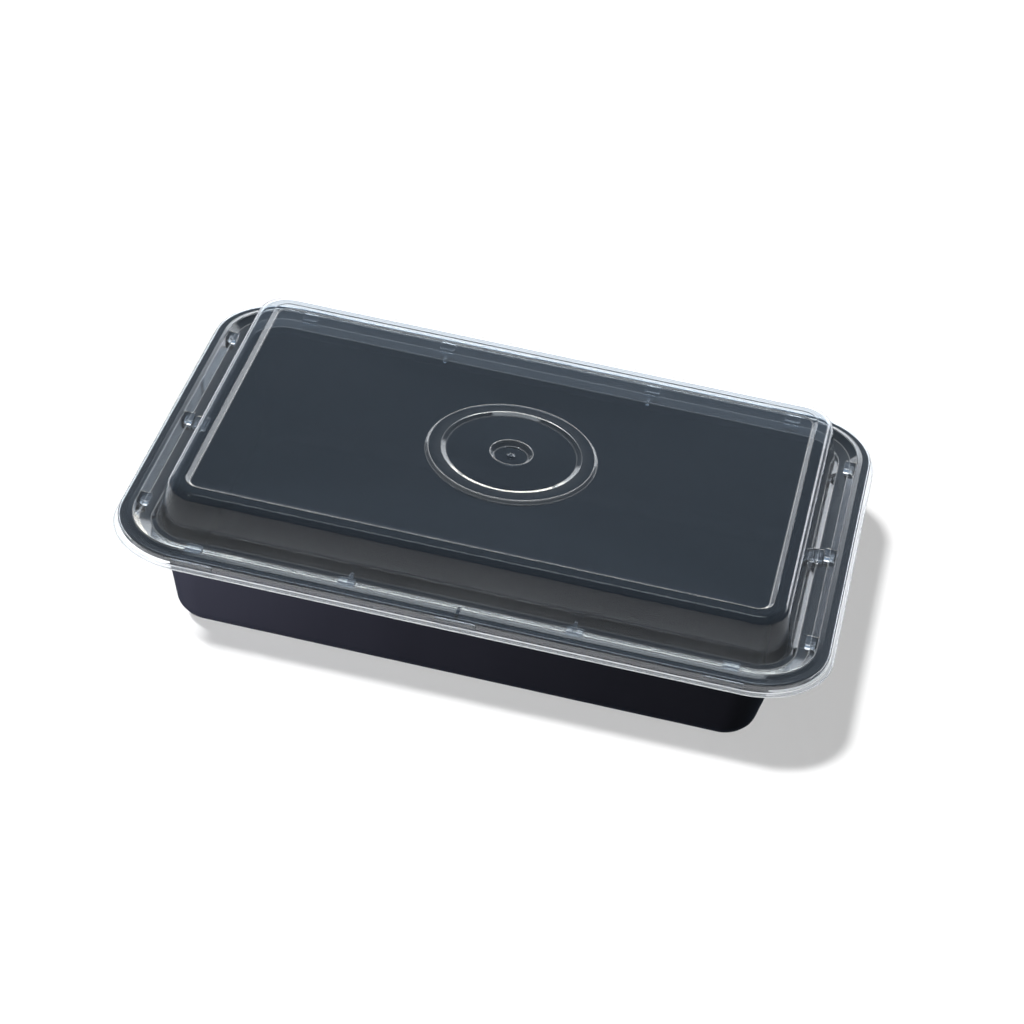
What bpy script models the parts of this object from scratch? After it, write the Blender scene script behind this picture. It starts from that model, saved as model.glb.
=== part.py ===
"""Takeaway meal container: a black moulded tray shut with a clear press-on domed lid.

The part stands on the tray's underside, with the origin at the centre of that face.
Metres, +Z up, +X along the length. Both pieces are thin moulded shells. Each one is a
single sheet, drawn as a chain of rounded rectangles that share their vertex count, and
Solidify gives it its wall.
"""

import math

import bmesh
import bpy
import numpy as np

# Rim: the outer edge of the tray's flange, which every other outline is set in from
RIM_LENGTH = 0.2160
RIM_WIDTH = 0.1465
RIM_CORNER = 0.0221
RIM_HEIGHT = 0.0373

# Walls of the two mouldings, and the gap that keeps the pressed-on lid off the tray
TRAY_WALL = 0.0007
LID_WALL = 0.0005
SEAT_GAP = 0.00035

# Lid: insets from the rim, and heights above its plane, of the outer surface
HEM_REACH = 0.0022
HEM_DROP = 0.0027
SKIRT_REACH = TRAY_WALL + 0.0001
SKIRT_DROP = 0.0021
FLANGE_LEVEL = LID_WALL + SEAT_GAP
FLANGE_FLAT = 0.0019
FLANGE_CREST = (0.0036, 0.0014)
TROUGH_OUTER = (0.0058, -0.0007)
TROUGH_INNER = (0.0084, -0.0016)
DOME_FOOT = (0.0107, -0.0009)
DOME_SHOULDER = (0.0136, 0.0133)
SHOULDER_ROUND = 0.0020
FRAME_INNER = (0.0184, 0.0134)
PANEL_EDGE = (0.0200, 0.0125)
DOME_CORNER = 0.0015
PANEL_SHARES = (0.3, 0.65)

# Top panel: a raised ring, a disc inside it and a small well with the moulding gate's pip
PANEL_SAG = 0.0111
RING_FOOT_OUTER = 0.0272
RING_CREST_OUTER = 0.0258
RING_CREST_INNER = 0.0219
RING_FOOT_INNER = 0.0204
RING_CREST = 0.0121
DISC_EDGE = 0.0115
DISC_MIDDLE = 0.0118
WELL_RIM = 0.0067
WELL_FLOOR = 0.0053
WELL_DEPTH = 0.0015
PIP_FOOT = 0.0013
PIP_TOP = 0.0007
PIP_HEIGHT = 0.0005

# Tray: insets and heights of its upper and inner surface
LIP_DROP = 0.0016
RIM_CREST = (0.00338, 0.00043)
STEP_OUTER = (0.00535, -0.00144)
STEP_INNER = (0.0082, -0.00245)
WALL_TOP = (0.0120, -0.0028)
WALL_FOOT_INSET = 0.0191
FOOT_ROUND = 0.0062
TRAY_CORNER_TOP = 0.0130
TRAY_CORNER_FOOT = 0.0085
FLOOR_INSET = 0.0586
FLOOR_CORNER = 0.0040

# Vertices of a quarter of each outline: half a short side, the corner, half a long side
SHORT_STEPS = 4
CORNER_STEPS = 6
LONG_STEPS = 4
SHARP_ANGLE = math.radians(30)


def clear_scene():
    for item in list(bpy.data.objects):
        bpy.data.objects.remove(item, do_unlink=True)


def plastic(name, colour, roughness, alpha=1.0):
    material = bpy.data.materials.new(name)
    material.use_nodes = True
    shader = material.node_tree.nodes["Principled BSDF"]
    shader.inputs["Base Color"].default_value = (*colour, 1.0)
    shader.inputs["Roughness"].default_value = roughness
    shader.inputs["Metallic"].default_value = 0.0
    shader.inputs["Alpha"].default_value = alpha
    return material


def arc_at(before, corner, after, radius, steps):
    """Points of the arc that rounds one corner of a section; just the corner if it is sharp."""
    before, corner, after = (np.array(point, float) for point in (before, corner, after))
    if radius <= 0:
        return [corner]
    back = (before - corner) / np.linalg.norm(before - corner)
    ahead = (after - corner) / np.linalg.norm(after - corner)
    half_angle = math.acos(np.clip(back @ ahead, -1.0, 1.0)) / 2
    centre = corner + (back + ahead) / np.linalg.norm(back + ahead) * radius / math.sin(half_angle)
    start = corner + back * radius / math.tan(half_angle) - centre
    end = corner + ahead * radius / math.tan(half_angle) - centre
    sweep = math.pi - 2 * half_angle
    points = []
    for step in range(steps + 1):
        share = step / steps
        along = math.sin((1 - share) * sweep) * start + math.sin(share * sweep) * end
        points.append(centre + along / math.sin(sweep))
    return points


def rounded_section(corners):
    """A section as (inset, height) points, from corners given as (inset, height, radius, steps)."""
    places = [corner[:2] for corner in corners]
    section = [np.array(places[0])]
    for index in range(1, len(corners) - 1):
        radius, steps = corners[index][2:]
        section += arc_at(places[index - 1], places[index], places[index + 1], radius, steps)
    section.append(np.array(places[-1]))
    return section


def outline(half_length, half_width, radius, height):
    """One closed outline: a rounded rectangle that starts at +X and runs anticlockwise."""
    quarter = [(half_length, (half_width - radius) * step / SHORT_STEPS) for step in range(SHORT_STEPS)]
    for step in range(CORNER_STEPS):
        angle = math.pi / 2 * step / CORNER_STEPS
        quarter.append(
            (half_length - radius + radius * math.cos(angle), half_width - radius + radius * math.sin(angle))
        )
    for step in range(LONG_STEPS):
        quarter.append(((half_length - radius) * (1 - step / LONG_STEPS), half_width))
    points = quarter + [(-x, y) for x, y in quarter[:0:-1]]
    points.insert(len(quarter), (0.0, half_width))
    points += [(-half_length, 0.0)]
    points += [(x, -y) for x, y in points[-2:0:-1]]
    return np.array([(x, y, height) for x, y in points])


def circle(radius, height):
    """A circle with the outline's vertex count and start."""
    count = 4 * (SHORT_STEPS + CORNER_STEPS + LONG_STEPS)
    angles = np.arange(count) * 2 * math.pi / count
    return np.column_stack([radius * np.cos(angles), radius * np.sin(angles), np.full(count, height)])


def inset_outline(inset, height, radius):
    return outline(RIM_LENGTH / 2 - inset, RIM_WIDTH / 2 - inset, radius, RIM_HEIGHT + height)


def sheet(name, loops, collection):
    """A sheet through the outlines, shut by one point in the middle, facing up and outwards."""
    mesh_builder = bmesh.new()
    rows = [[mesh_builder.verts.new(point) for point in loop] for loop in loops]
    count = len(rows[0])
    for outer, inner in zip(rows, rows[1:]):
        for index in range(count):
            following = (index + 1) % count
            mesh_builder.faces.new((outer[index], outer[following], inner[following], inner[index]))
    middle = mesh_builder.verts.new(loops[-1].mean(axis=0))
    for index in range(count):
        mesh_builder.faces.new((rows[-1][index], rows[-1][(index + 1) % count], middle))
    mesh = bpy.data.meshes.new(name)
    mesh_builder.to_mesh(mesh)
    mesh_builder.free()
    mesh.shade_smooth()
    mesh.set_sharp_from_angle(angle=SHARP_ANGLE)
    piece = bpy.data.objects.new(name, mesh)
    collection.objects.link(piece)
    return piece


def give_wall(piece, thickness):
    solidify = piece.modifiers.new("wall", "SOLIDIFY")
    solidify.thickness = thickness
    solidify.offset = -1.0
    solidify.use_even_offset = True
    solidify.use_quality_normals = True


def lid_section():
    """Hem, skirt, flange, trough, dome wall and frame, from the outer edge inwards."""
    return rounded_section(
        [
            (-HEM_REACH, -HEM_DROP),
            (-SKIRT_REACH, -SKIRT_DROP, 0.0004, 1),
            (-SKIRT_REACH, FLANGE_LEVEL, 0.0009, 2),
            (FLANGE_FLAT, FLANGE_LEVEL, 0.0, 0),
            (*FLANGE_CREST, 0.0004, 1),
            (*TROUGH_OUTER, 0.0, 0),
            (*TROUGH_INNER, 0.0, 0),
            (*DOME_FOOT, 0.0008, 1),
            (*DOME_SHOULDER, SHOULDER_ROUND, 3),
            (*FRAME_INNER, 0.0, 0),
            PANEL_EDGE,
        ]
    )


def lid_corner(inset):
    """Corner radius of a lid outline: parallel to the rim's, and a little fuller up on the dome."""
    share = np.clip((inset - DOME_FOOT[0]) / (DOME_SHOULDER[0] - DOME_FOOT[0]), 0, 1)
    return RIM_CORNER - inset + DOME_CORNER * share


def lid_loops():
    loops = [inset_outline(inset, height, lid_corner(inset)) for inset, height in lid_section()]
    panel_edge = loops[-1]
    ring_foot = circle(RING_FOOT_OUTER, RIM_HEIGHT + PANEL_SAG)
    for share in PANEL_SHARES:
        loops.append(panel_edge * (1 - share) + ring_foot * share)
    profile = [
        (RING_FOOT_OUTER, PANEL_SAG),
        (RING_CREST_OUTER, RING_CREST),
        (RING_CREST_INNER, RING_CREST),
        (RING_FOOT_INNER, DISC_EDGE),
        (WELL_RIM, DISC_MIDDLE),
        (WELL_FLOOR, DISC_MIDDLE - WELL_DEPTH),
        (PIP_FOOT, DISC_MIDDLE - WELL_DEPTH),
        (PIP_TOP, DISC_MIDDLE - WELL_DEPTH + PIP_HEIGHT),
    ]
    loops += [circle(radius, RIM_HEIGHT + height) for radius, height in profile]
    return loops


def tray_section():
    """Lip, rim, step, wall and rounded foot, from the outer edge inwards."""
    floor = TRAY_WALL - RIM_HEIGHT
    return rounded_section(
        [
            (0.0, -LIP_DROP),
            (0.0, 0.0, 0.0004, 1),
            (FLANGE_FLAT, 0.0, 0.0, 0),
            (*RIM_CREST, 0.0, 0),
            (*STEP_OUTER, 0.0, 0),
            (*STEP_INNER, 0.0, 0),
            (*WALL_TOP, 0.0008, 2),
            (WALL_FOOT_INSET, floor, FOOT_ROUND, 4),
            (FLOOR_INSET, floor),
        ]
    )


def tray_corner(inset, height):
    """Corner radius of a tray outline: parallel to the rim's down to the wall, then tighter."""
    share = np.clip((WALL_TOP[1] - height) / (RIM_HEIGHT + WALL_TOP[1]), 0, 1)
    wall_corner = TRAY_CORNER_TOP + (TRAY_CORNER_FOOT - TRAY_CORNER_TOP) * share
    blend = np.clip((inset - STEP_INNER[0]) / (WALL_TOP[0] - STEP_INNER[0]), 0, 1)
    return (RIM_CORNER - inset) * (1 - blend) + wall_corner * blend


def tray_loops():
    loops = []
    for inset, height in tray_section():
        inside_foot = max(inset - WALL_FOOT_INSET, 0.0)
        radius = max(tray_corner(inset, height) - inside_foot, FLOOR_CORNER)
        loops.append(inset_outline(inset, height, radius))
    return loops


def build():
    clear_scene()
    container = bpy.data.collections.new("takeaway_meal_container")
    bpy.context.scene.collection.children.link(container)
    tray = sheet("tray", tray_loops(), container)
    give_wall(tray, TRAY_WALL)
    tray.data.materials.append(plastic("black_plastic", (0.012, 0.012, 0.014), 0.35))
    lid = sheet("lid", lid_loops(), container)
    give_wall(lid, LID_WALL)
    lid.data.materials.append(plastic("clear_plastic", (0.93, 0.95, 0.96), 0.08, alpha=0.25))


build()
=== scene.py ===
import math

import bpy
import numpy as np
from mathutils import Matrix, Vector


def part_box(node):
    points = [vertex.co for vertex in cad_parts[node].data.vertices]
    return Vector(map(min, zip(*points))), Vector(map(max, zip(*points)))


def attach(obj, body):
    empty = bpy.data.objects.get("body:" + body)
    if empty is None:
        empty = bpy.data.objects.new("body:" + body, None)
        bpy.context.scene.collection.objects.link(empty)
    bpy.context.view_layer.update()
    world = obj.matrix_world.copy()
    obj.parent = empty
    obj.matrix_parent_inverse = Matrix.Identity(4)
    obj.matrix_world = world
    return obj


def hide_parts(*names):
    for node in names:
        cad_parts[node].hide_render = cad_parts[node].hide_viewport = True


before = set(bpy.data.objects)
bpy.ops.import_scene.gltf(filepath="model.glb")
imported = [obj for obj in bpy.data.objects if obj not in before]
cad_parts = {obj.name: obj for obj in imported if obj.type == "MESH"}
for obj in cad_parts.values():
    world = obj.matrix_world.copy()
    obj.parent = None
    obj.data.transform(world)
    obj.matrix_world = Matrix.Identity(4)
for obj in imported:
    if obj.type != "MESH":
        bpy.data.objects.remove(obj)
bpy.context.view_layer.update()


# Tray: one black polypropylene moulding with a turned-down lip, a stepped rim that the lid's
# trough presses into, drafted walls and a rounded foot. It stands on its flat floor. The
# mould leaves a faint grain and flow marks on its satin surface.

TRAY_LOW, TRAY_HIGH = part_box("tray")
RIM_LENGTH = TRAY_HIGH.x - TRAY_LOW.x
RIM_WIDTH = TRAY_HIGH.y - TRAY_LOW.y
RIM_CORNER = 0.0221
RIM_CREST_RISE = 0.00043
RIM_HEIGHT = TRAY_HIGH.z - RIM_CREST_RISE
TRAY_WALL = 0.0007

# The section of the tray's inner surface, as (inset from the rim's edge, height above its plane)
FLANGE_FLAT = 0.0019
LIP_EDGE = (-0.0002, -0.0016)
LIP_TOP = (-0.0002, 0.00006)
FLAT_END = (FLANGE_FLAT, 0.0)
RIM_CREST = (0.00338, RIM_CREST_RISE)
STEP_OUTER = (0.00535, -0.00144)
STEP_INNER = (0.0082, -0.00245)
WALL_TOP = (0.0120, -0.0028)
WALL_FOOT = (0.0191, TRAY_WALL - RIM_HEIGHT)
FLOOR_END = (0.0586, TRAY_WALL - RIM_HEIGHT)
FOOT_ROUND = 0.0062
TRAY_CORNER_TOP = 0.0130
TRAY_CORNER_FOOT = 0.0085
FLOOR_CORNER = 0.0040

# Columns of a quarter of each outline, and the shortest step between two points of a section
SHORT_STEPS = 8
CORNER_STEPS = 16
LONG_STEPS = 12
HOLD = 0.00012


def arc_at(before, corner, after, radius, steps):
    """Points of the arc that rounds a section's corner, with one more on the flat at each end."""
    before, corner, after = (np.array(point, float) for point in (before, corner, after))
    back = (before - corner) / np.linalg.norm(before - corner)
    ahead = (after - corner) / np.linalg.norm(after - corner)
    half_angle = math.acos(np.clip(back @ ahead, -1.0, 1.0)) / 2
    reach = radius / math.tan(half_angle)
    centre = corner + (back + ahead) / np.linalg.norm(back + ahead) * radius / math.sin(half_angle)
    start = corner + back * reach
    end = corner + ahead * reach
    sweep = math.pi - 2 * half_angle
    points = [start + back * HOLD]
    for step in range(steps + 1):
        share = step / steps
        from_start = math.sin((1 - share) * sweep) * (start - centre)
        from_end = math.sin(share * sweep) * (end - centre)
        points.append(centre + (from_start + from_end) / math.sin(sweep))
    points.append(end + ahead * HOLD)
    return points


def rounded_section(corners):
    """A section as (inset, height) points, from corners given as (place, radius, steps)."""
    places = [corner[0] for corner in corners]
    section = [np.array(places[0], float)]
    for index in range(1, len(corners) - 1):
        radius, steps = corners[index][1:]
        section += arc_at(places[index - 1], places[index], places[index + 1], radius, steps)
    section.append(np.array(places[-1], float))
    return section


def rounded_rectangle(half_length, half_width, radius, height):
    """One closed outline at a height: it starts at +X and runs anticlockwise."""
    straight = half_width - radius
    quarter = [(half_length, straight * step / SHORT_STEPS) for step in range(SHORT_STEPS)]
    for step in range(CORNER_STEPS):
        angle = math.pi / 2 * step / CORNER_STEPS
        x = half_length - radius + radius * math.cos(angle)
        y = half_width - radius + radius * math.sin(angle)
        quarter.append((x, y))
    for step in range(LONG_STEPS):
        quarter.append(((half_length - radius) * (1 - step / LONG_STEPS), half_width))
    half = quarter + [(0.0, half_width)] + [(-x, y) for x, y in quarter[:0:-1]]
    points = half + [(-half_length, 0.0)] + [(x, -y) for x, y in half[:0:-1]]
    return np.array([(x, y, height) for x, y in points])


def inset_outline(inset, height, radius):
    """The rim's outline moved inwards, at a height above the rim's plane."""
    half_length, half_width = RIM_LENGTH / 2 - inset, RIM_WIDTH / 2 - inset
    return rounded_rectangle(half_length, half_width, radius, RIM_HEIGHT + height)


def moulded_shell(name, loops, wall, frost_and_painted_light=None):
    """A sheet through the outlines, shut in the middle, with its wall on the inner side. Each
    outline may have a frost value, from 0, clear, to 1; on the lid the frost is partly
    milky plastic and partly painted highlight."""
    count = len(loops[0])
    points = np.concatenate([*loops, [loops[-1].mean(axis=0)]])
    faces = []
    for row in range(len(loops) - 1):
        for index in range(count):
            following = (index + 1) % count
            outer, inner = row * count, (row + 1) * count
            faces.append((outer + index, outer + following, inner + following, inner + index))
    last, middle = (len(loops) - 1) * count, len(points) - 1
    faces += [(last + index, last + (index + 1) % count, middle) for index in range(count)]
    mesh = bpy.data.meshes.new(name)
    mesh.from_pydata(points.tolist(), [], faces)
    mesh.shade_smooth()
    if frost_and_painted_light is not None:
        values = mesh.attributes.new("frost_and_painted_light", "FLOAT", "POINT").data
        by_point = np.append(np.repeat(frost_and_painted_light, count), frost_and_painted_light[-1])
        values.foreach_set("value", by_point.astype(np.float32))
    shell = bpy.data.objects.new(name, mesh)
    bpy.context.scene.collection.objects.link(shell)
    thickness = shell.modifiers.new("wall", "SOLIDIFY")
    thickness.thickness = wall
    thickness.offset = -1.0
    thickness.use_even_offset = True
    thickness.use_quality_normals = True
    return shell


def tray_corner(inset, height):
    """Corner radius of a tray outline: parallel to the rim's down to the wall, then tighter."""
    depth = np.clip((WALL_TOP[1] - height) / (WALL_TOP[1] - WALL_FOOT[1]), 0, 1)
    wall_corner = TRAY_CORNER_TOP + (TRAY_CORNER_FOOT - TRAY_CORNER_TOP) * depth
    blend = np.clip((inset - STEP_INNER[0]) / (WALL_TOP[0] - STEP_INNER[0]), 0, 1)
    radius = (RIM_CORNER - inset) * (1 - blend) + wall_corner * blend
    return max(radius - max(inset - WALL_FOOT[0], 0.0), FLOOR_CORNER)


tray_section = rounded_section(
    [
        (LIP_EDGE,),
        (LIP_TOP, 0.0004, 4),
        (FLAT_END, 0.0004, 2),
        (RIM_CREST, 0.0003, 3),
        (STEP_OUTER, 0.0004, 3),
        (STEP_INNER, 0.0008, 2),
        (WALL_TOP, 0.0008, 5),
        (WALL_FOOT, FOOT_ROUND, 12),
        (FLOOR_END,),
    ]
)
tray_loops = [
    inset_outline(inset, height, tray_corner(inset, height)) for inset, height in tray_section
]
tray = moulded_shell("black_tray", tray_loops, TRAY_WALL)


class Shade:
    """A socket in a material's node tree: an expression on it adds the Math nodes it needs."""

    def __init__(self, tree, socket=None):
        self.tree = tree
        self.socket = socket

    def node(self, kind, settings=None, inputs=None, output=0):
        """Adds a node, makes its settings, then gives its inputs their values or links."""
        added = self.tree.nodes.new(kind)
        for name, value in (settings or {}).items():
            setattr(added, name, value)
        for name, value in (inputs or {}).items():
            if isinstance(value, Shade):
                self.tree.links.new(value.socket, added.inputs[name])
            else:
                added.inputs[name].default_value = value
        return Shade(self.tree, added.outputs[output])

    def math(self, operation, first, second=0.0):
        return self.node("ShaderNodeMath", {"operation": operation}, {0: first, 1: second})

    def __add__(self, other):
        return self.math("ADD", self, other)

    def __radd__(self, other):
        return self.math("ADD", other, self)

    def __sub__(self, other):
        return self.math("SUBTRACT", self, other)

    def __rsub__(self, other):
        return self.math("SUBTRACT", other, self)

    def __mul__(self, other):
        return self.math("MULTIPLY", self, other)

    def __rmul__(self, other):
        return self.math("MULTIPLY", other, self)

    def clamped(self, low, high):
        """This value from low..high brought to 0..1, smoothly and no further."""
        return self.node(
            "ShaderNodeMapRange",
            {"interpolation_type": "SMOOTHSTEP"},
            {"Value": self, "From Min": low, "From Max": high},
        )

    def noise(self, scale, detail=2.0, stretch=(1.0, 1.0, 1.0)):
        """A noise on this place, from 0 to 1. Scale is in waves a metre."""
        place = self.node("ShaderNodeMapping", inputs={"Vector": self, "Scale": stretch})
        return self.node(
            "ShaderNodeTexNoise", inputs={"Vector": place, "Scale": scale, "Detail": detail}
        )

    def mixed(self, low, high):
        """A colour between two, by this value."""
        inputs = {0: self, 6: (*low, 1.0), 7: (*high, 1.0)}
        return self.node("ShaderNodeMix", {"data_type": "RGBA"}, inputs, output=2)


def bare_material(name):
    """An empty material, its output node, and the place on the piece in metres."""
    material = bpy.data.materials.new(name)
    material.use_nodes = True
    material.node_tree.nodes.clear()
    tree = material.node_tree
    finish = tree.nodes.new("ShaderNodeOutputMaterial")
    place = Shade(tree).node("ShaderNodeTexCoord", output="Object")
    return material, finish.inputs["Surface"], place


def black_polypropylene():
    """Near-black satin plastic: faint mould grain and flow marks, and a few lighter rubs."""
    material, surface, place = bare_material("black_polypropylene")
    grain = place.noise(5200.0, 2.0)
    flow = place.noise(38.0, 3.0, stretch=(1.0, 1.0, 0.35))
    rubs = place.noise(160.0, 4.0, stretch=(1.0, 1.0, 0.2)).clamped(0.60, 0.78)
    colour = (flow * 0.7 + rubs * 0.3).mixed((0.0026, 0.0026, 0.0036), (0.0044, 0.0044, 0.0060))
    relief = place.node(
        "ShaderNodeBump",
        inputs={"Strength": 0.35, "Distance": 0.00003, "Height": grain * 0.06 + flow * 1.2},
    )
    plastic = place.node(
        "ShaderNodeBsdfPrincipled",
        inputs={
            "Base Color": colour,
            "Roughness": 0.36 + flow * 0.10 + rubs * 0.08,
            "Specular IOR Level": 0.034,
            "Normal": relief,
        },
    )
    material.node_tree.links.new(plastic.socket, surface)
    return material


tray.data.materials.append(black_polypropylene())
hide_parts("tray")
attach(tray, "root")


# Lid: one clear polypropylene moulding that presses over the tray's lip. From the edge in, it
# has a flared hem, a skirt, a flange, a trough, a domed wall, a frame and a sunk top panel
# with a raised ring, a disc and a small well around the mark of the moulding gate.

LID_WALL = 0.0004
SEAT_GAP = 0.0002

# The section of the lid's outer surface, from the hem to the sunk panel
HEM_EDGE = (-0.0022, -0.0030)
HEM_ROLL = (-0.0019, -0.0027)
SKIRT_FOOT = (-TRAY_WALL - 0.0001, -0.0023)
SKIRT_TOP = (SKIRT_FOOT[0], LID_WALL + SEAT_GAP)
FLANGE_END = (FLANGE_FLAT, LID_WALL + SEAT_GAP)
FLANGE_CREST = (0.0036, 0.00115)
TROUGH_OUTER = (0.0058, -0.00082)
TROUGH_INNER = (0.0092, -0.00175)
DOME_FOOT = (0.0107, -0.0009)
DOME_SHOULDER = (0.0136, 0.0133)
FRAME_INNER = (0.0184, 0.0134)
PANEL_EDGE = (0.0198, 0.01225)
DOME_CORNER = 0.0015

# Top panel: heights above the rim's plane, and the radii of the round marks in its middle
PANEL_SAG = 0.0111
PANEL_LOOPS = 14
PANEL_START = (PANEL_EDGE[0] + 0.0014, PANEL_EDGE[1] - 0.0001)
RING_START = (0.0280, PANEL_SAG)
RING_FOOT = (0.0268, PANEL_SAG)
RING_OUTER = (0.0260, 0.0121)
RING_INNER = (0.0219, 0.0121)
DISC_EDGE = (0.0204, 0.0115)
DISC_MIDDLE = 0.0118
WELL_RIM = (0.0067, DISC_MIDDLE)
WELL_FLOOR = (0.0053, DISC_MIDDLE - 0.0015)
PIP_FOOT = (0.0013, WELL_FLOOR[1])
PIP_TOP = (0.0007, WELL_FLOOR[1] + 0.0005)
PIP_MIDDLE = (0.0002, PIP_TOP[1])


def circle(radius, height):
    """A circle with the outlines' number of points and their start."""
    count = 4 * (SHORT_STEPS + CORNER_STEPS + LONG_STEPS)
    angles = np.arange(count) * 2 * math.pi / count
    x, y = radius * np.cos(angles), radius * np.sin(angles)
    return np.column_stack([x, y, np.full(count, RIM_HEIGHT + height)])


def lid_corner(inset):
    """Corner radius of a lid outline: parallel to the rim's, and a little fuller on the dome."""
    rise = np.clip((inset - DOME_FOOT[0]) / (DOME_SHOULDER[0] - DOME_FOOT[0]), 0, 1)
    return RIM_CORNER - inset + DOME_CORNER * rise


lid_section = rounded_section(
    [
        (HEM_EDGE,),
        (HEM_ROLL, 0.0002, 2),
        (SKIRT_FOOT, 0.0003, 4),
        (SKIRT_TOP, 0.0007, 6),
        (FLANGE_END, 0.0004, 2),
        (FLANGE_CREST, 0.0004, 4),
        (TROUGH_OUTER, 0.0003, 3),
        (TROUGH_INNER, 0.0005, 2),
        (DOME_FOOT, 0.0005, 5),
        (DOME_SHOULDER, 0.0028, 10),
        (FRAME_INNER, 0.0003, 4),
        (PANEL_EDGE, 0.0008, 6),
        (PANEL_START,),
    ]
)
lid_loops = [inset_outline(inset, height, lid_corner(inset)) for inset, height in lid_section]
panel_start = lid_loops[-1]
panel_end = circle(*RING_START)
for loop_number in range(1, PANEL_LOOPS):
    share = loop_number / PANEL_LOOPS
    lid_loops.append(panel_start * (1 - share) + panel_end * share)
round_section = rounded_section(
    [
        (RING_START,),
        (RING_FOOT, 0.0003, 3),
        (RING_OUTER, 0.0003, 3),
        (RING_INNER, 0.0004, 3),
        (DISC_EDGE, 0.0005, 3),
        (WELL_RIM, 0.0004, 4),
        (WELL_FLOOR, 0.0004, 4),
        (PIP_FOOT, 0.0002, 2),
        (PIP_TOP, 0.0002, 2),
        (PIP_MIDDLE,),
    ]
)
lid_loops += [circle(radius, height) for radius, height in round_section]

# How frosted the plastic is at each inset: most on the hem, then in a line along each bend.
# The frost is partly milky plastic and partly painted highlight: its white lines stand in
# for light caught in the hem and the bends.
FROST_AND_PAINTED_LIGHT = (
    (-0.0022, 0.75),
    (-0.0020, 0.10),
    (-0.0011, 0.10),
    (-0.0009, 0.70),
    (-0.00081, 0.008),
    (0.0018, 0.003),
    (0.00345, 0.006),
    (0.0036, 0.120),
    (0.0038, 0.004),
    (0.00565, 0.004),
    (0.0058, 0.110),
    (0.0060, 0.006),
    (0.0090, 0.008),
    (0.0092, 0.080),
    (0.0095, 0.006),
    (0.0105, 0.006),
    (0.0107, 0.045),
    (0.0109, 0.002),
    (0.0112, 0.0),
    (0.0195, 0.0),
    (0.0198, 0.11),
    (0.0201, 0.0),
)

# The same for the bends of the round marks, and how far each line reaches
MARK_FROST_AND_PAINTED_LIGHT = (
    (RING_FOOT, 0.05),
    (RING_OUTER, 0.16),
    (RING_INNER, 0.06),
    (DISC_EDGE, 0.04),
    (WELL_RIM, 0.15),
    (WELL_FLOOR, 0.06),
)
MARK_REACH = 0.00022
frost_and_painted_light = [float(np.interp(inset, *zip(*FROST_AND_PAINTED_LIGHT))) for inset, height in lid_section]
frost_and_painted_light += [0.0] * (PANEL_LOOPS - 1)
for radius, height in round_section:
    lines = [value * max(1 - abs(radius - bend[0]) / MARK_REACH, 0.0) for bend, value in MARK_FROST_AND_PAINTED_LIGHT]
    frost_and_painted_light.append(max(lines))
lid = moulded_shell("clear_lid", lid_loops, LID_WALL, frost_and_painted_light)


def clear_polypropylene():
    """Clear glossy plastic with soft flow waves and fine scuffs, milky and darker where it is
    frosted. The milky lines are partly painted highlight, for light caught in the hem and the
    bends; the darker glass there is partly painted shade, for the shadow under the hem.
    """
    material, surface, place = bare_material("clear_polypropylene")
    waves = place.noise(60.0, 2.0, stretch=(1.0, 1.0, 0.25))
    scuffs = place.noise(700.0, 4.0, stretch=(1.0, 0.6, 0.12)).clamped(0.60, 0.80)
    relief = place.node(
        "ShaderNodeBump", inputs={"Strength": 0.1, "Distance": 0.00002, "Height": waves * 2.0}
    )
    # Frost: partly milky plastic, partly painted highlight along the hem and the bends
    frost_and_painted_light = place.node("ShaderNodeAttribute", {"attribute_name": "frost_and_painted_light"}, output=2)
    # Darker glass where frosted: partly milky plastic, partly painted shade for the shadow under
    # the hem and the dark lines of refraction
    tint_and_painted_shade = frost_and_painted_light.clamped(0.02, 0.09).mixed((0.91, 0.95, 0.99), (0.62, 0.64, 0.66))
    glass = place.node(
        "ShaderNodeBsdfPrincipled",
        inputs={
            "Base Color": tint_and_painted_shade,
            "Roughness": 0.02 + scuffs * 0.05,
            "IOR": 1.49,
            "Transmission Weight": 1.0,
            "Normal": relief,
        },
    )
    milk_and_painted_highlight = place.node(
        "ShaderNodeBsdfPrincipled",
        inputs={"Base Color": (0.87, 0.89, 0.90, 1.0), "Roughness": 0.5, "Normal": relief},
    )
    # The frosted milk is partly painted highlight: white lines lit by the lid's own lamps
    haze_and_painted_highlight = 0.0003 + waves * 0.001 + scuffs * 0.001 + frost_and_painted_light * (0.7 + waves * 0.6)
    plastic = place.node("ShaderNodeMixShader", inputs={0: haze_and_painted_highlight, 1: glass, 2: milk_and_painted_highlight})
    material.node_tree.links.new(plastic.socket, surface)
    return material


clear_plastic = clear_polypropylene()
lid.data.materials.append(clear_plastic)
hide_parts("lid")
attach(lid, "root")


# Lugs and beads: small pads of the lid's own plastic, formed with it. The lugs stand along the
# trough and the foot of the dome and keep stacked lids apart; the beads grip the tray's lip.

# Length, width and height of each kind of pad
OUTER_LUG = (0.0050, 0.0042, 0.0017)
INNER_LUG = (0.0064, 0.0044, 0.0013)
RIB = (0.0011, 0.0040, 0.0014)
SNAP_BEAD = (0.0125, 0.0013, 0.0014)
PAD_SIZES = ("Length", "Width", "Height")
PAD_LEVEL = 4
PAD_CREASE = 0.55

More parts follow.
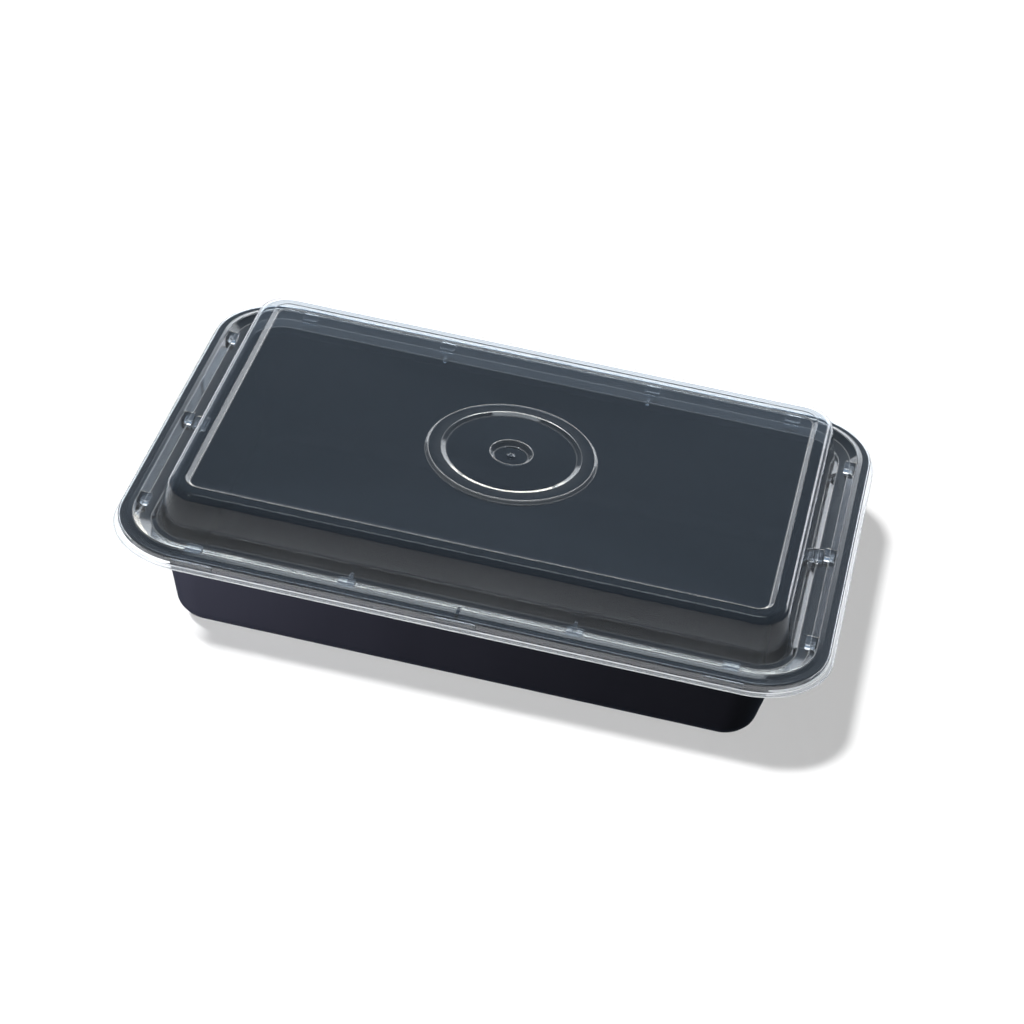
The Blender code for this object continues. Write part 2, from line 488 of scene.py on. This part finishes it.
# Where they stand: places along X or Y, then the inset from the rim's edge and the height
OUTER_LUGS_X = (-0.0812, -0.0345, 0.0345, 0.0812)
OUTER_LUGS_Y = (-0.048, -0.002, 0.048)
OUTER_LUG_SEAT = (0.0052, 0.00015)
INNER_LUG_Y = -0.002
INNER_LUG_SEAT = (0.0098, -0.0010)
DOME_RIBS_X = (-0.034, 0.034)
DOME_RIB_SEAT = (0.0098, -0.0008)
FRONT_RIB_SEAT = (0.0027, 0.0005)
SNAP_BEADS_X = (-0.080, 0.0, 0.080)
SNAP_BEAD_SEAT = (SKIRT_TOP[0], -0.0009)


def pads_on_points():
    """A node tree that sets a rounded pad on each point, turned by the point's own angle."""
    tree = bpy.data.node_groups.new("pads_on_points", "GeometryNodeTree")
    tree.interface.new_socket("Points", in_out="INPUT", socket_type="NodeSocketGeometry")
    for name in PAD_SIZES:
        tree.interface.new_socket(name, in_out="INPUT", socket_type="NodeSocketFloat")
    tree.interface.new_socket("Pads", in_out="OUTPUT", socket_type="NodeSocketGeometry")
    given = Shade(tree).node("NodeGroupInput")
    sockets = given.socket.node.outputs[:4]
    points, length, width, height = (Shade(tree, socket) for socket in sockets)
    block = points.node("GeometryNodeMeshCube", inputs={"Size": (1.0, 1.0, 1.0)})
    pad = points.node(
        "GeometryNodeSubdivisionSurface",
        inputs={"Mesh": block, "Level": PAD_LEVEL, "Edge Crease": PAD_CREASE},
    )
    turn = points.node("GeometryNodeInputNamedAttribute", {"data_type": "FLOAT"}, {"Name": "turn"})
    placed = points.node(
        "GeometryNodeInstanceOnPoints",
        inputs={
            "Points": points,
            "Instance": pad,
            "Rotation": points.node("ShaderNodeCombineXYZ", inputs={"Z": turn}),
            "Scale": points.node(
                "ShaderNodeCombineXYZ", inputs={"X": length, "Y": width, "Z": height}
            ),
        },
    )
    solid = points.node("GeometryNodeRealizeInstances", inputs={"Geometry": placed})
    smooth = points.node("GeometryNodeSetShadeSmooth", inputs={"Geometry": solid})
    finished = points.node(
        "GeometryNodeSetMaterial", inputs={"Geometry": smooth, "Material": clear_plastic}
    )
    result = tree.nodes.new("NodeGroupOutput")
    tree.links.new(finished.socket, result.inputs[0])
    return tree


def on_long_sides(x, seat, sides=(-1, 1)):
    """A place and a turn on the front and the back side."""
    inset, height = seat
    return [((x, side * (RIM_WIDTH / 2 - inset), RIM_HEIGHT + height), 0.0) for side in sides]


def on_short_sides(y, seat):
    """A place and a turn on both end sides."""
    inset, height = seat
    reach = RIM_LENGTH / 2 - inset
    return [((side * reach, y, RIM_HEIGHT + height), math.pi / 2) for side in (-1, 1)]


def set_out(name, tree, places, size):
    """Pads of one size at the places, as one plain mesh that is part of the lid."""
    mesh = bpy.data.meshes.new(name)
    mesh.from_pydata([place for place, turn in places], [], [])
    turns = mesh.attributes.new("turn", "FLOAT", "POINT").data
    turns.foreach_set("value", [turn for place, turn in places])
    pads = bpy.data.objects.new(name, mesh)
    bpy.context.scene.collection.objects.link(pads)
    layout = pads.modifiers.new("layout", "NODES")
    layout.node_group = tree
    sizes = dict(zip(PAD_SIZES, size))
    for socket in tree.interface.items_tree:
        if socket.name in sizes:
            layout[socket.identifier] = sizes[socket.name]
    finished = pads.evaluated_get(bpy.context.evaluated_depsgraph_get())
    pads.data = bpy.data.meshes.new_from_object(finished)
    pads.modifiers.remove(layout)
    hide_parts("lid")
    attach(pads, "root")
    return pads


pad_tree = pads_on_points()
outer_places = []
for x in OUTER_LUGS_X:
    outer_places += on_long_sides(x, OUTER_LUG_SEAT)
for y in OUTER_LUGS_Y:
    outer_places += on_short_sides(y, OUTER_LUG_SEAT)
inner_places = on_short_sides(INNER_LUG_Y, INNER_LUG_SEAT)
rib_places = on_long_sides(0.0, FRONT_RIB_SEAT, sides=(-1,))
for x in DOME_RIBS_X:
    rib_places += on_long_sides(x, DOME_RIB_SEAT)
bead_places = []
for x in SNAP_BEADS_X:
    bead_places += on_long_sides(x, SNAP_BEAD_SEAT)
lid_details = [
    set_out("outer_lugs", pad_tree, outer_places, OUTER_LUG),
    set_out("inner_lugs", pad_tree, inner_places, INNER_LUG),
    set_out("ribs", pad_tree, rib_places, RIB),
    set_out("snap_beads", pad_tree, bead_places, SNAP_BEAD),
]


# Studio: a plain white floor just under the container, a world of bright fields that only the
# plastic mirrors, and lamps. Each lamp lights the floor, the lid or the tray alone.

FLOOR_RADIUS = 2.6
FLOOR_DEPTH = 0.0002
FLOOR_SIDES = 96

# Soft edges of the world's fields along an axis of the direction, each as its start and end
BEHIND_Y = (0.35, 0.75)
BACKDROP_FOOT = (-0.05, 0.08)
BACKDROP_TOP = (0.42, 0.50)
STRIP_X = ((-0.35, -0.25), (0.03, 0.10))
STRIP_Z = ((0.02, 0.06), (0.18, 0.24))
SOFTBOX_Y = (0.12, 0.18)
SOFTBOX_Z = (0.935, 0.945)
WINDOW_X = ((0.35, 0.39), (0.46, 0.51))
WINDOW_Z = ((0.28, 0.33), (0.43, 0.46))
GLOW_Y = (-0.2, 0.1)
GLOW_Z = ((-0.80, -0.65), (-0.45, -0.30))

# Suns: how far they move the shadow of the lid's edge, strength, and angle in degrees
SHADOW_LAMP = ((0.011, 0.013), 2.15, 7.0)
FILL_LAMP = ((0.0, 0.0), 1.71, 7.0)
ROOM_LAMP = ((0.008, 0.012), 2.6, 60.0)
BACK_LAMP = ((0.0, -0.105), 9.0, 20.0)


def studio_floor():
    """A wide white disc with a hardly visible shade in its white."""
    angles = np.arange(FLOOR_SIDES) * 2 * math.pi / FLOOR_SIDES
    points = [
        (FLOOR_RADIUS * math.cos(angle), FLOOR_RADIUS * math.sin(angle), -FLOOR_DEPTH)
        for angle in angles
    ]
    mesh = bpy.data.meshes.new("studio_floor")
    mesh.from_pydata(points, [], [tuple(range(FLOOR_SIDES))])
    floor = bpy.data.objects.new("studio_floor", mesh)
    bpy.context.scene.collection.objects.link(floor)
    material, surface, place = bare_material("white_floor")
    shade = place.noise(3.0).mixed((0.895, 0.895, 0.895), (0.905, 0.905, 0.905))
    paper = place.node("ShaderNodeBsdfDiffuse", inputs={"Color": shade})
    material.node_tree.links.new(paper.socket, surface)
    mesh.materials.append(material)
    return floor


def band(value, rise, fall):
    """1 between two soft edges and 0 outside them."""
    return value.clamped(*rise) * (1 - value.clamped(*fall))


def studio_light():
    """The world: a dim blue room with a pale backdrop, a warm strip and a window low behind the
    container, a softbox high above it and the glow of the floor in front."""
    world = bpy.data.worlds.new("studio_light")
    bpy.context.scene.world = world
    world.use_nodes = True
    world.cycles_visibility.diffuse = False
    tree = world.node_tree
    tree.nodes.clear()
    finish = tree.nodes.new("ShaderNodeOutputWorld")
    direction = Shade(tree).node("ShaderNodeTexCoord", output="Generated")
    parts = tree.nodes.new("ShaderNodeSeparateXYZ")
    tree.links.new(direction.socket, parts.inputs[0])
    x, y, z = (Shade(tree, parts.outputs[axis]) for axis in "XYZ")
    room = z.clamped(-0.1, 0.5).mixed((0.13, 0.16, 0.22), (0.27, 0.34, 0.43))
    behind = y.clamped(*BEHIND_Y)
    floor_line = x.math("MAXIMUM", -0.62 * x - 0.27, x - 0.35)
    ceiling_line = 0.5 * x.math("MINIMUM", x + 0.2, 0.0)
    below_ceiling = 1 - (z - ceiling_line).clamped(*BACKDROP_TOP)
    backdrop = (z - floor_line).clamped(*BACKDROP_FOOT) * below_ceiling * behind
    strip = band(z, *STRIP_Z) * behind * band(x, *STRIP_X)
    softbox = z.clamped(*SOFTBOX_Z) * y.clamped(*SOFTBOX_Y)
    window = band(x, *WINDOW_X) * band(z, *WINDOW_Z) * behind
    glow = band(z, *GLOW_Z) * (1 - y.clamped(*GLOW_Y))
    light = room
    for share, colour in (
        (backdrop, (1.9, 1.95, 2.0)),
        (strip, (4.2, 3.9, 3.2)),
        (softbox, (1.9, 2.05, 2.15)),
        (window, (2.4, 2.3, 2.45)),
        (glow, (2.0, 2.05, 2.1)),
    ):
        inputs = {0: colour, "Scale": share}
        part = direction.node("ShaderNodeVectorMath", {"operation": "SCALE"}, inputs)
        light = direction.node("ShaderNodeVectorMath", {"operation": "ADD"}, {0: light, 1: part})
    light = direction.node("ShaderNodeBackground", inputs={"Color": light})
    tree.links.new(light.socket, finish.inputs["Surface"])


def aimed(name, data, place, target):
    """A lamp at a place, turned to its target."""
    lamp = bpy.data.objects.new(name, data)
    bpy.context.scene.collection.objects.link(lamp)
    towards = Vector(target) - Vector(place)
    turn = towards.to_track_quat("-Z", "Y").to_matrix().to_4x4()
    lamp.matrix_world = Matrix.Translation(place) @ turn
    return lamp


def sun_lamp(name, shift, strength, angle):
    """A sun that moves the shadow of the lid's edge by shift, in metres."""
    sun = bpy.data.lights.new(name, "SUN")
    sun.energy = strength
    sun.angle = math.radians(angle)
    place = (-shift[0], -shift[1], RIM_HEIGHT)
    return aimed(name, sun, place, (0.0, 0.0, 0.0))


def keep_to(lamp, lit, blocking=None, mirrored=True):
    """Limits a lamp to the pieces in lit. Only those in blocking stand in its way, if given, and
    an unmirrored lamp isn't seen in or through the plastic."""
    lamp.light_linking.receiver_collection = lit
    if blocking is not None:
        lamp.light_linking.blocker_collection = blocking
    lamp.visible_glossy = mirrored
    lamp.visible_transmission = mirrored


def group(name, *pieces):
    """The pieces that a lamp is kept to."""
    collection = bpy.data.collections.new(name)
    for piece in pieces:
        collection.objects.link(piece)
    return collection


floor = studio_floor()
floor.visible_glossy = False
studio_light()

# On the floor: the shadow, with its strength set by the fill, and a narrow pool at the left end
floor_only = group("floor_only", floor)
keep_to(sun_lamp("shadow_lamp", *SHADOW_LAMP), floor_only)
keep_to(sun_lamp("fill_lamp", *FILL_LAMP), floor_only, floor_only)
side = bpy.data.lights.new("side_lamp", "SPOT")
side.spot_size = math.radians(9.5)
side.spot_blend = 1.0
side.shadow_soft_size = 0.10
side.energy = 95.0
keep_to(aimed("side_lamp", side, (-0.487, -0.02, 0.443), (-0.097, -0.068, 0.0)), floor_only)

# On the lid: light for its milky lines, which are partly painted highlight, from above and from
# behind, and the spark in the ring
lid_only = group("lid_only", lid, *lid_details)
keep_to(sun_lamp("room_lamp", *ROOM_LAMP), lid_only, floor_only, mirrored=False)
back_lamp = sun_lamp("back_lamp", *BACK_LAMP)
back_lamp.data.color = (0.98, 0.99, 1.0)
keep_to(back_lamp, lid_only, floor_only, mirrored=False)
spark = bpy.data.lights.new("spark_lamp", "AREA")
spark.size = 0.03
spark.energy = 4.0
keep_to(aimed("spark_lamp", spark, (-0.45, -0.45, 0.80), (0.0, 0.0, 0.04)), lid_only)

# On the tray: a card low at the left that shows as the sheen on its corner
card = bpy.data.lights.new("left_card", "AREA")
card.shape = "RECTANGLE"
card.size = 0.12
card.size_y = 0.06
card.energy = 2.1
card.color = (0.90, 0.92, 1.0)
left_card = aimed("left_card", card, (-0.14, -0.15, 0.03), (-0.10, -0.06, 0.02))
keep_to(left_card, group("tray_only", tray))


# Camera: where the photo was taken from, found by fitting the outlines of the container's rim,
# dome, ring and tray to it. Its lens is a long one, a little turned about the line of sight.

AZIMUTH = math.radians(7.273)
ELEVATION = math.radians(35.267)
ROLL = math.radians(7.922)
DISTANCE = 0.980907
AIM_RIGHT = -0.001478
AIM_UP = 0.008995
SENSOR = 36.0
LENS = 110.93
CLIP_START = 0.05

back = Vector(
    (
        math.sin(AZIMUTH) * math.cos(ELEVATION),
        -math.cos(AZIMUTH) * math.cos(ELEVATION),
        math.sin(ELEVATION),
    )
)
level = Vector((math.cos(AZIMUTH), math.sin(AZIMUTH), 0.0))
upright = back.cross(level)
right = level * math.cos(ROLL) + upright * math.sin(ROLL)
up = upright * math.cos(ROLL) - level * math.sin(ROLL)
lens = bpy.data.cameras.new("photo_camera")
lens.lens = LENS
lens.sensor_width = SENSOR
lens.clip_start = CLIP_START
camera = bpy.data.objects.new("photo_camera", lens)
bpy.context.scene.collection.objects.link(camera)
place = Vector((0.0, 0.0, RIM_HEIGHT)) + back * DISTANCE - right * AIM_RIGHT - up * AIM_UP
camera.matrix_world = Matrix.Translation(place) @ Matrix((right, up, back)).transposed().to_4x4()
bpy.context.scene.camera = camera
bpy.context.scene.view_settings.view_transform = "Standard"
